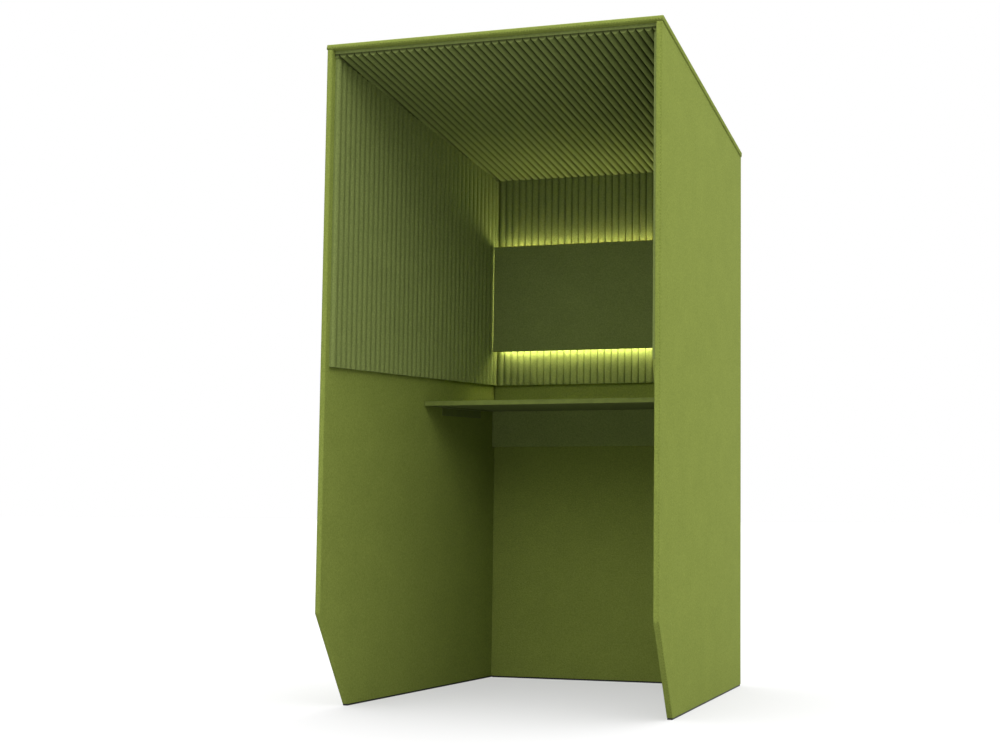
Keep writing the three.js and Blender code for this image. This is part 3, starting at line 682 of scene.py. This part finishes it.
def lining_tree():
    """Ribs side by side along X, rising in Y from a flat base and running along Z."""
    lengths = ["Pitch", "Rib depth", "Base", "Length"]
    tree, entry, keys = new_tree("ribbed_lining", ["Ribs", "Steps"], lengths)
    unit = add_node(tree, "GeometryNodeCurvePrimitiveLine", End=(1, 0, 0)).outputs["Curve"]
    count = math_node(tree, "ADD", entry["Steps"], 1)
    dense = add_node(tree, "GeometryNodeResampleCurve", Curve=unit, Count=count).outputs["Curve"]
    position = add_node(tree, "GeometryNodeInputPosition").outputs["Position"]
    spot = add_node(tree, "ShaderNodeSeparateXYZ", Vector=position).outputs
    arch = math_node(tree, "SINE", math_node(tree, "MULTIPLY", spot["X"], math.pi))
    round_arch = math_node(tree, "SQRT", math_node(tree, "MAXIMUM", arch, 0.0))
    rise = math_node(tree, "MULTIPLY", round_arch, entry["Rib depth"])
    profile_point = vector_node(tree, x=math_node(tree, "MULTIPLY", spot["X"], entry["Pitch"]), y=rise)
    arc = add_node(tree, "GeometryNodeSetPosition", Geometry=dense, Position=profile_point)
    closed = add_node(tree, "GeometryNodeSetSplineCyclic", Geometry=arc.outputs["Geometry"], Cyclic=True)
    spine = add_node(tree, "GeometryNodeCurvePrimitiveLine", End=vector_node(tree, z=entry["Length"]))
    rib = add_node(
        tree,
        "GeometryNodeCurveToMesh",
        Curve=spine.outputs["Curve"],
        Profile_Curve=closed.outputs["Geometry"],
        Fill_Caps=True,
    )
    share = math_node(tree, "DIVIDE", spot["Y"], entry["Rib depth"])
    marked_rib = mark_height(tree, rib.outputs["Mesh"], share)
    ribs = row_of(tree, marked_rib, entry["Ribs"], vector_node(tree, x=entry["Pitch"]))
    width = math_node(tree, "MULTIPLY", entry["Ribs"], entry["Pitch"])
    slab = add_node(
        tree, "GeometryNodeMeshCube", Size=vector_node(tree, width, entry["Base"], entry["Length"])
    )
    middle = vector_node(
        tree,
        math_node(tree, "MULTIPLY", width, 0.5),
        math_node(tree, "MULTIPLY", entry["Base"], -0.5),
        math_node(tree, "MULTIPLY", entry["Length"], 0.5),
    )
    base = add_node(tree, "GeometryNodeTransform", Geometry=slab.outputs["Mesh"], Translation=middle)
    both = add_node(tree, "GeometryNodeJoinGeometry")
    set_inputs(tree, both, Geometry=ribs)
    # The base is marked as a crest, so that it gets no painted shade
    set_inputs(tree, both, Geometry=mark_height(tree, base.outputs["Geometry"], 1.0))
    end_tree(tree, both.outputs["Geometry"], entry["Finish"])
    return tree, keys


def stitch_tree():
    """Stitches laid end to end along the edges of the object's own mesh."""
    lengths = ["Pitch", "Stitch length", "Stitch radius"]
    tree, entry, keys = new_tree("edge_stitches", lengths=lengths, with_geometry=True)
    curve = add_node(tree, "GeometryNodeMeshToCurve", Mesh=entry["Geometry"]).outputs["Curve"]
    points = add_node(
        tree, "GeometryNodeCurveToPoints", {"mode": "LENGTH"}, Curve=curve, Length=entry["Pitch"]
    )
    half = math_node(tree, "MULTIPLY", entry["Stitch length"], 0.5)
    thread = add_node(
        tree, "GeometryNodeMeshUVSphere", Segments=STITCH_SEGMENTS, Rings=STITCH_RINGS, Radius=1.0
    )
    stitches = add_node(
        tree,
        "GeometryNodeInstanceOnPoints",
        Points=points.outputs["Points"],
        Instance=thread.outputs["Mesh"],
        Rotation=points.outputs["Rotation"],
        Scale=vector_node(tree, entry["Stitch radius"], entry["Stitch radius"], half),
    )
    end_tree(tree, stitches.outputs["Instances"], entry["Finish"])
    return tree, keys


def block_tree():
    """A row of small blocks, such as lights on a strip or the pins of an inlet."""
    tree, entry, keys = new_tree("block_row", ["Count"], ["Pitch"], ["Size", "Start", "Step"])
    offset = add_node(tree, "ShaderNodeVectorMath", {"operation": "SCALE"}, Scale=entry["Pitch"])
    feed(tree, offset.inputs[0], entry["Step"])
    block = add_node(tree, "GeometryNodeMeshCube", Size=entry["Size"]).outputs["Mesh"]
    blocks = row_of(tree, block, entry["Count"], offset.outputs["Vector"], entry["Start"])
    end_tree(tree, blocks, entry["Finish"])
    return tree, keys


def screw_tree():
    """Domed screw heads with a cross in each, along X and looking back."""
    tree, entry, keys = new_tree("screw_heads", ["Count"], ["Pitch", "Radius"], ["Start"])
    ball = add_node(
        tree, "GeometryNodeMeshUVSphere", Segments=SCREW_SEGMENTS, Rings=SCREW_RINGS, Radius=1.0
    )
    dome = add_node(
        tree, "GeometryNodeTransform", Geometry=ball.outputs["Mesh"], Scale=(1, DOME_RISE, 1)
    )
    cross = add_node(tree, "GeometryNodeJoinGeometry")
    for width, height in ((CROSS_LENGTH, CROSS_WIDTH), (CROSS_WIDTH, CROSS_LENGTH)):
        bar = add_node(tree, "GeometryNodeMeshCube", Size=(width, CROSS_DEPTH, height)).outputs["Mesh"]
        raised = add_node(tree, "GeometryNodeTransform", Geometry=bar, Translation=(0, DOME_RISE, 0))
        set_inputs(tree, cross, Geometry=raised.outputs["Geometry"])
    head = add_node(
        tree,
        "GeometryNodeMeshBoolean",
        {"operation": "DIFFERENCE"},
        Mesh_1=dome.outputs["Geometry"],
        Mesh_2=cross.outputs["Geometry"],
    )
    heads = row_of(
        tree,
        head.outputs["Mesh"],
        entry["Count"],
        vector_node(tree, x=entry["Pitch"]),
        entry["Start"],
        vector_node(tree, entry["Radius"], entry["Radius"], entry["Radius"]),
    )
    end_tree(tree, heads, entry["Finish"])
    return tree, keys


# Linings
def base_line(node, is_side):
    """The two lower corners of a wall lining that lie against its wall, front or left one first."""
    corners = corners_of(node)
    if is_side:
        return max(corners, key=lambda c: (abs(c.x), -c.z)), max(corners, key=lambda c: (c.y, -c.z))
    return max(corners, key=lambda c: (c.y - c.x, -c.z)), max(corners, key=lambda c: (c.y + c.x, -c.z))


def top_line(node):
    """Height of a lining's top as a function of depth."""
    corners = corners_of(node)
    middle = (min(c.z for c in corners) + max(c.z for c in corners)) / 2
    tops = [c for c in corners if c.z > middle]
    near = min(tops, key=lambda c: c.y)
    far = max(tops, key=lambda c: c.y)
    slope = (far.z - near.z) / (far.y - near.y)
    return lambda depth: near.z + (depth - near.y) * slope


def unit_ribs(name, ribs, pitch, depth, base, felt):
    """A row of ribs of unit length, whose points are then set in place one by one."""
    values = {
        "Ribs": ribs,
        "Steps": sizes().rib_steps,
        "Pitch": pitch,
        "Rib depth": depth,
        "Base": base,
        "Length": UNIT_LENGTH,
        "Finish": finish(felt),
    }
    return run_tree(name, lining_tree, values)


def finish_lining(piece, node):
    """Shades the ribs round, with sharp ends, and gives the lining its body."""
    with opened(piece.data) as shell:
        smooth_outward(shell)
    piece.data.set_sharp_from_angle(angle=RIB_SHARP_ANGLE)
    settle(piece, "pod", None, [node])


def wall_lining(name, node, is_side):
    """Ribbed lining of one wall, from its lower edge up to the ceiling lining."""
    size = sizes()
    start, end = base_line(node, is_side)
    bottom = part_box(node)[0].z
    run = Vector((end.x - start.x, end.y - start.y, 0))
    way = run.normalized()
    inward = Vector((way.y, -way.x, 0))
    if inward.dot(Vector((-start.x - end.x, -start.y - end.y, 0))) < 0:
        inward.negate()
    ribs = round(run.length / size.rib_pitch)
    rise = max((c - start).dot(inward) for c in corners_of(node))
    base = rise - size.rib_depth
    piece = unit_ribs(name, ribs, run.length / ribs, size.rib_depth, base, "rib felt")
    top_at = top_line(node)
    for vertex in piece.data.vertices:
        along, out, up = vertex.co
        place = Vector((start.x, start.y, 0)) + way * along + inward * (base + out)
        place.z = bottom if up < MIDWAY else top_at(place.y)
        vertex.co = place
    finish_lining(piece, node)


def ceiling_lining(name, node):
    """Ribbed lining of the ceiling, lower to the back, trimmed along the side walls."""
    size = sizes()
    corners = corners_of(node)
    front_y = min(c.y for c in corners)
    back_y = max(c.y for c in corners)
    ends = [[c for c in corners if abs(c.y - y) < WELD] for y in (front_y, back_y)]
    tops = [max(c.z for c in end) for end in ends]
    crests = [min(c.z for c in end) for end in ends]
    halves = [max(c.x for c in end) for end in ends]
    ribs = 2 * math.ceil(halves[0] / size.rib_pitch)
    piece = unit_ribs(name, ribs, size.rib_pitch, size.ceiling_rib, UNIT_LENGTH, "ceiling felt")
    # The base is of unit thickness too, and is fitted between the valleys and the lining's top
    for vertex in piece.data.vertices:
        along, out, run = vertex.co
        end = 0 if run < MIDWAY else 1
        valley = crests[end] + size.ceiling_rib
        z = valley - out if out > 0 else valley + (tops[end] - valley) * -out
        vertex.co = (along - ribs * size.rib_pitch / 2, (front_y, back_y)[end], z)
    with opened(piece.data) as shell:
        for sign in (-1, 1):
            corner = Vector((sign * halves[0], front_y, 0))
            side = Vector((sign * halves[1], back_y, 0)) - corner
            outward = Vector((sign * side.y, -sign * side.x, 0)).normalized()
            everything = [*shell.verts, *shell.edges, *shell.faces]
            bmesh.ops.bisect_plane(
                shell, geom=everything, dist=WELD, plane_co=corner, plane_no=outward, clear_outer=True
            )
            rim = [edge for edge in shell.edges if edge.is_boundary]
            bmesh.ops.holes_fill(shell, edges=rim, sides=0)
    finish_lining(piece, node)


# Edge seams
def wall_seam(node):
    """Rows of a wall's seam beside its outer front edge: down the front, then back under the toe."""
    corners = corners_of(node)
    inset = sizes().stitch_inset
    front = min(c.y for c in corners)
    face = [c for c in corners if c.y - front < FRONT_BAND]
    floor = min(c.z for c in corners)
    lowest = [c for c in corners if c.z - floor < WELD]
    heel = min(c.y for c in lowest)
    outer_face = sorted(face, key=lambda c: abs(c.x))[len(face) // 2 :]
    top = max(outer_face, key=lambda c: c.z)
    toe = min(outer_face, key=lambda c: c.z)
    low = max((c for c in lowest if c.y - heel < FRONT_BAND), key=lambda c: abs(c.x))
    inward = Vector((-math.copysign(inset, top.x), 0, 0))
    return [(top + inward, toe + inward), (toe + inward, low + inward)]


def roof_seam(node):
    """Row of the roof's seam over its lower front edge."""
    corners = corners_of(node)
    inset = sizes().stitch_inset
    front = min(c.y for c in corners)
    face = [c for c in corners if c.y - front < FRONT_BAND]
    bottom = min(c.z for c in face)
    half = max(c.x for c in face) - inset
    return [(Vector((-half, front, bottom + inset)), Vector((half, front, bottom + inset)))]


def sew(name, rows):
    """Sews straight rows of stitches as one piece."""
    size = sizes()
    shell = bmesh.new()
    for start, end in rows:
        shell.edges.new((shell.verts.new(start), shell.verts.new(end)))
    values = {
        "Pitch": size.stitch_pitch,
        "Stitch length": size.stitch_length,
        "Stitch radius": size.stitch_radius,
        "Finish": finish("thread"),
    }
    piece = run_tree(name, stitch_tree, values, mesh_of(shell, name))
    settle(piece, "pod")


# Lights and fittings
def set_lights(run):
    """Sets a row of small lights on the strip of one run of light."""
    size = sizes()
    low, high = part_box(f"{run}_light_strip")
    middle = (low + high) / 2
    step = RIGHT if high.x - low.x > high.z - low.z else UP
    count = int((high - low).dot(step) / size.light_pitch)
    start = middle - step * (size.light_pitch * (count - 1) / 2)
    start.y = high.y + size.light_rise / 2
    values = {
        "Count": count,
        "Pitch": size.light_pitch,
        "Size": (size.light_size, size.light_rise, size.light_size),
        "Start": tuple(start),
        "Step": tuple(step),
        "Finish": finish("white"),
    }
    piece = run_tree(f"{run}_light_dots", block_tree, values)
    settle(piece, "lamp_panel")


def set_inlet_parts():
    """Sets the pins in the inlet's recess and the screw heads on its rim."""
    size = sizes()
    low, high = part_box("power_inlet")
    middle = (low.z + high.z) / 2
    pin_place = high.y - size.recess_depth + size.pin_length / 2 - PIN_ROOT
    values = {
        "Count": PIN_COUNT,
        "Pitch": size.pin_spacing,
        "Size": (PIN_WIDTH, size.pin_length, PIN_HEIGHT),
        "Start": (-size.pin_spacing * (PIN_COUNT - 1) / 2, pin_place, middle),
        "Step": tuple(RIGHT),
        "Finish": finish("zinc"),
    }
    settle(run_tree("inlet_pins", block_tree, values), "pod")
    values = {
        "Count": SCREW_COUNT,
        "Pitch": size.screw_spacing,
        "Radius": size.screw_radius,
        "Start": (-size.screw_spacing * (SCREW_COUNT - 1) / 2, high.y, middle),
        "Finish": finish("zinc"),
    }
    settle(run_tree("inlet_screws", screw_tree, values), "pod")


# Studio
def make_floor():
    """A large pale floor that keeps the pod's shadow."""
    shell = bmesh.new()
    bmesh.ops.create_grid(shell, x_segments=1, y_segments=1, size=FLOOR_HALF)
    floor = add_object("studio_floor", mesh_of(shell, "studio_floor"))
    material, tree, shader, _ = new_material("studio_floor")
    seen = add_node(tree, "ShaderNodeLightPath").outputs["Is Camera Ray"]
    lift = math_node(tree, "MULTIPLY", seen, FLOOR_LIFT)
    set_inputs(tree, shader, Base_Color=FLOOR_COLOUR, Roughness=1.0, Specular_IOR_Level=0.0)
    set_inputs(tree, shader, Emission_Color=WHITE, Emission_Strength=lift)
    floor.data.materials.append(material)


def make_world():
    """Soft light from above, with a white background for camera, glossy and transmission rays."""
    world = bpy.data.worlds.new("studio_world")
    world.use_nodes = True
    tree = world.node_tree
    tree.nodes.clear()
    rays = add_node(tree, "ShaderNodeLightPath").outputs
    seen = math_node(tree, "MAXIMUM", rays["Is Camera Ray"], rays["Is Glossy Ray"])
    seen = math_node(tree, "MAXIMUM", seen, rays["Is Transmission Ray"])
    way = add_node(tree, "ShaderNodeTexCoord").outputs["Generated"]
    height = add_node(tree, "ShaderNodeSeparateXYZ", Vector=way).outputs["Z"]
    heights = (SKY_START_HEIGHT, SKY_FULL_HEIGHT)
    sky = map_range(tree, height, heights, (HORIZON_LIGHT, SKY_LIGHT), "SMOOTHSTEP")
    light = add_node(tree, "ShaderNodeBackground", Color=WHITE, Strength=sky)
    white = add_node(tree, "ShaderNodeBackground", Color=WHITE, Strength=1.0)
    both = add_node(tree, "ShaderNodeMixShader", Fac=seen)
    feed(tree, both.inputs[1], light.outputs["Background"])
    feed(tree, both.inputs[2], white.outputs["Background"])
    add_node(tree, "ShaderNodeOutputWorld", Surface=both.outputs["Shader"])
    bpy.context.scene.world = world


def add_lamp(name, place, turn, size, power, colour=(1, 1, 1)):
    """A rectangular lamp that shines along its own -Z."""
    data = bpy.data.lights.new(name, "AREA")
    data.shape = "RECTANGLE"
    data.size, data.size_y = size
    data.energy = power
    data.color = colour
    lamp = add_object(name, data)
    lamp.matrix_world = Matrix.Translation(place) @ turn.to_4x4()


def make_key():
    """One broad soft lamp in front of the pod and to its right."""
    turn = (KEY_AIM - KEY_PLACE).to_track_quat("-Z", "Y").to_matrix()
    add_lamp("studio_key", KEY_PLACE, turn, (KEY_SIZE, KEY_SIZE), KEY_POWER)


def make_glow():
    """The spill of the light runs out of the gap round the lamp panel."""
    low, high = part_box("lamp_panel_cover")
    middle = (low + high) / 2
    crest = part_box("back_liner")[0].y
    gap = Vector((middle.x, (high.y + crest) / 2, middle.z))
    for name, (way, lean, power) in GLOW_EDGES.items():
        along, across = (RIGHT, UP) if way.z else (UP, RIGHT)
        reach = (high - low).dot(across) / 2 - GLOW_INSET
        size = (GLOW_SHARE * (high - low).dot(along), GLOW_DEPTH)
        aim = (way + BACK * lean).normalized()
        turn = Matrix((along, (-aim).cross(along), -aim)).transposed()
        add_lamp(f"lamp_glow_{name}", gap + way * reach, turn, size, power, colours().glow)


def make_camera():
    """The photograph's camera."""
    yaw = math.radians(CAMERA_YAW)
    pitch = math.radians(CAMERA_PITCH)
    forward = Vector((math.sin(yaw) * math.cos(pitch), math.cos(yaw) * math.cos(pitch), math.sin(pitch)))
    level = Vector((math.cos(yaw), -math.sin(yaw), 0))
    above = level.cross(forward)
    roll = math.radians(CAMERA_ROLL)
    right = level * math.cos(roll) + above * math.sin(roll)
    up = above * math.cos(roll) - level * math.sin(roll)
    data = bpy.data.cameras.new("photo_camera")
    data.sensor_width = SENSOR_WIDTH
    data.lens = FOCAL_PIXELS * SENSOR_WIDTH / IMAGE_WIDTH
    data.shift_x = (IMAGE_WIDTH / 2 - OPTICAL_CENTRE[0]) / IMAGE_WIDTH
    data.shift_y = (OPTICAL_CENTRE[1] - IMAGE_HEIGHT / 2) / IMAGE_WIDTH
    camera = add_object("photo_camera", data)
    turn = Matrix((right, up, -forward)).transposed()
    camera.matrix_world = Matrix.Translation(CAMERA_PLACE) @ turn.to_4x4()
    bpy.context.scene.camera = camera


# Operators
class POD_OT_stage(bpy.types.Operator):
    """Pale floor, soft light and the photograph's camera"""

    bl_idname = "pod.stage"
    bl_label = "Studio"
    bl_options = {"REGISTER", "UNDO"}

    def execute(self, context):
        """Makes the floor, the light and the camera."""
        make_floor()
        make_world()
        make_key()
        make_glow()
        make_camera()
        return {"FINISHED"}


class POD_OT_felt(bpy.types.Operator):
    """Felt sleeves of the walls, roof, desk rail and lamp panel"""

    bl_idname = "pod.felt"
    bl_label = "Felt sleeves"
    bl_options = {"REGISTER", "UNDO"}

    def execute(self, context):
        """Wraps each board in its felt."""
        front = sizes().front_round
        for wall in SIDES:
            felt_sleeve(f"{wall}_wall_felt", f"{wall}_wall_cover", "pod", [DOWN], front_round=front)
        low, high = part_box("power_inlet")
        margin = Vector((HOLE_MARGIN, 0, HOLE_MARGIN))
        hole = (low + margin, high - margin + BACK * HOLE_MARGIN)
        felt_sleeve("back_wall_felt", "back_wall_cover", "pod", [DOWN], hole=hole)
        felt_sleeve("roof_felt", "roof_cover", "pod", flaps=[BACK], front_round=front)
        rail_ends = [BACK, UP, LEFT, RIGHT]
        felt_sleeve("desk_rail_felt", "desk_rail_cover", "pod", rail_ends, felt="panel felt")
        felt_sleeve("lamp_panel_felt", "lamp_panel_cover", "lamp_panel", [BACK], felt="panel felt")
        boards = [f"{wall}_wall_board" for wall in WALLS]
        dress("board", *boards, "roof_board", "desk_rail_board", "lamp_panel_board")
        return {"FINISHED"}


class POD_OT_linings(bpy.types.Operator):
    """Ribbed linings of the walls and ceiling"""

    bl_idname = "pod.linings"
    bl_label = "Ribbed linings"
    bl_options = {"REGISTER", "UNDO"}

    def execute(self, context):
        """Lays the ribs on each wall and the ceiling."""
        for wall in WALLS:
            wall_lining(f"{wall}_ribs", f"{wall}_liner", wall in SIDES)
        ceiling_lining("ceiling_ribs", "ceiling_liner")
        return {"FINISHED"}


class POD_OT_seams(bpy.types.Operator):
    """Fine stitched seams along the front edges of the walls and roof"""

    bl_idname = "pod.seams"
    bl_label = "Edge seams"
    bl_options = {"REGISTER", "UNDO"}

    def execute(self, context):
        """Sews the front edges."""
        for wall in SIDES:
            sew(f"{wall}_wall_seam", wall_seam(f"{wall}_wall_cover"))
        sew("roof_seam", roof_seam("roof_cover"))
        return {"FINISHED"}


class POD_OT_desk(bpy.types.Operator):
    """Desk sheet, edge strip, core and support angles"""

    bl_idname = "pod.desk"
    bl_label = "Desk"
    bl_options = {"REGISTER", "UNDO"}

    def execute(self, context):
        """Finishes the desk's own pieces."""
        dress("desk", "desk_top_sheet", "desk_front_edge")
        dress("dyed board", "desk_board")
        dress("coated", "left_desk_angle", "right_desk_angle")
        return {"FINISHED"}


class POD_OT_lights(bpy.types.Operator):
    """Light channels, circuit strips with their lights, and lit diffusers"""

    bl_idname = "pod.lights"
    bl_label = "Lights"
    bl_options = {"REGISTER", "UNDO"}

    def execute(self, context):
        """Finishes the four runs of light and sets the lights on their strips."""
        for run in LIGHT_RUNS:
            dress("aluminium", f"{run}_light_channel")
            dress("circuit", f"{run}_light_strip")
            dress("glow", f"{run}_light_diffuser")
            set_lights(run)
        return {"FINISHED"}


class POD_OT_fittings(bpy.types.Operator):
    """Rails, feet, hangers, buffers, driver, inlet, switch and dowels"""

    bl_idname = "pod.fittings"
    bl_label = "Fittings"
    bl_options = {"REGISTER", "UNDO"}

    def execute(self, context):
        """Finishes the small fittings and sets the inlet's pins and screws."""
        rails = [f"{wall}_base_rail" for wall in WALLS]
        dress("black", *rails, "power_inlet", "switch_housing", "switch_rocker")
        dress("zinc", *[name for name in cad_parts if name.endswith("_foot")])
        dress("aluminium", "lamp_wall_hanger", "lamp_panel_hanger")
        dress("rubber", "left_lamp_buffer", "right_lamp_buffer")
        dress("white", "lamp_driver")
        dress("beech", *[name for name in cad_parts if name.endswith("_dowel")])
        set_inlet_parts()
        return {"FINISHED"}


OPERATORS = (
    POD_OT_stage,
    POD_OT_felt,
    POD_OT_linings,
    POD_OT_seams,
    POD_OT_desk,
    POD_OT_lights,
    POD_OT_fittings,
)


class POD_PT_panel(bpy.types.Panel):
    """Sidebar panel of the pod's operators, sizes and colours"""

    bl_label = "Acoustic office pod"
    bl_idname = "POD_PT_panel"
    bl_space_type = "VIEW_3D"
    bl_region_type = "UI"
    bl_category = "Pod"

    def draw(self, context):
        """Lists the operators, then the sizes and colours."""
        for operator in OPERATORS:
            self.layout.operator(operator.bl_idname)
        for group in (context.scene.pod_sizes, context.scene.pod_colours):
            for name in group.bl_rna.properties.keys():
                if name not in {"rna_type", "name"}:
                    self.layout.prop(group, name)


CLASSES = (PodSizes, PodColours, *OPERATORS, POD_PT_panel)


def register():
    """Registers the classes and the scene's properties."""
    for item in CLASSES:
        bpy.utils.register_class(item)
    bpy.types.Scene.pod_sizes = PointerProperty(type=PodSizes)
    bpy.types.Scene.pod_colours = PointerProperty(type=PodColours)


def unregister():
    """Takes the properties and classes away again."""
    del bpy.types.Scene.pod_colours
    del bpy.types.Scene.pod_sizes
    for item in reversed(CLASSES):
        bpy.utils.unregister_class(item)


def main():
    """Builds the pod's looks."""
    register()
    bpy.context.scene.view_settings.view_transform = "Standard"
    bpy.ops.pod.stage()
    bpy.ops.pod.felt()
    bpy.ops.pod.linings()
    bpy.ops.pod.seams()
    bpy.ops.pod.desk()
    bpy.ops.pod.lights()
    bpy.ops.pod.fittings()


if __name__ == "__main__":
    main()
